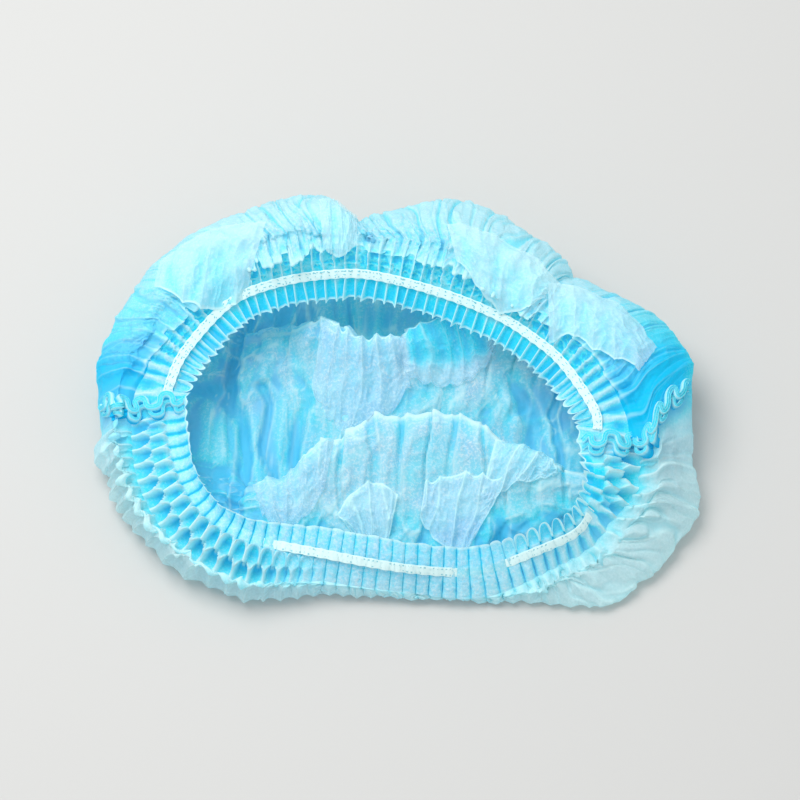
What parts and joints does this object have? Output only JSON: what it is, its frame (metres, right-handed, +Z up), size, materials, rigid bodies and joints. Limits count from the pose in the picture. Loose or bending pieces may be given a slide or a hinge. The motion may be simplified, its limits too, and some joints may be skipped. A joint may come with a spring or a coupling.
{
  "type": "disposable hairnet",
  "caption": "Light-blue disposable bouffant cap of thin pleated non-woven cloth with white elastic in its hem, lying open on a flat surface.",
  "frame": {"origin": "on the table, under the middle of the cap's outer box", "axes": "+X along the cap's length, +Y across it to the side where the puff stands highest, +Z up out of the mouth"},
  "size_m": [0.2512, 0.1784, 0.0574],
  "materials": {
    "crown": "thin spun-bonded polypropylene, light blue, slightly see-through",
    "elastic_back": "flat white elastic",
    "elastic_front": "flat white elastic"
  },
  "bodies": {
    "root": {"crown": "crown", "elastic_back": "elastic_back", "elastic_front": "elastic_front"}
  },
  "joints": []
}
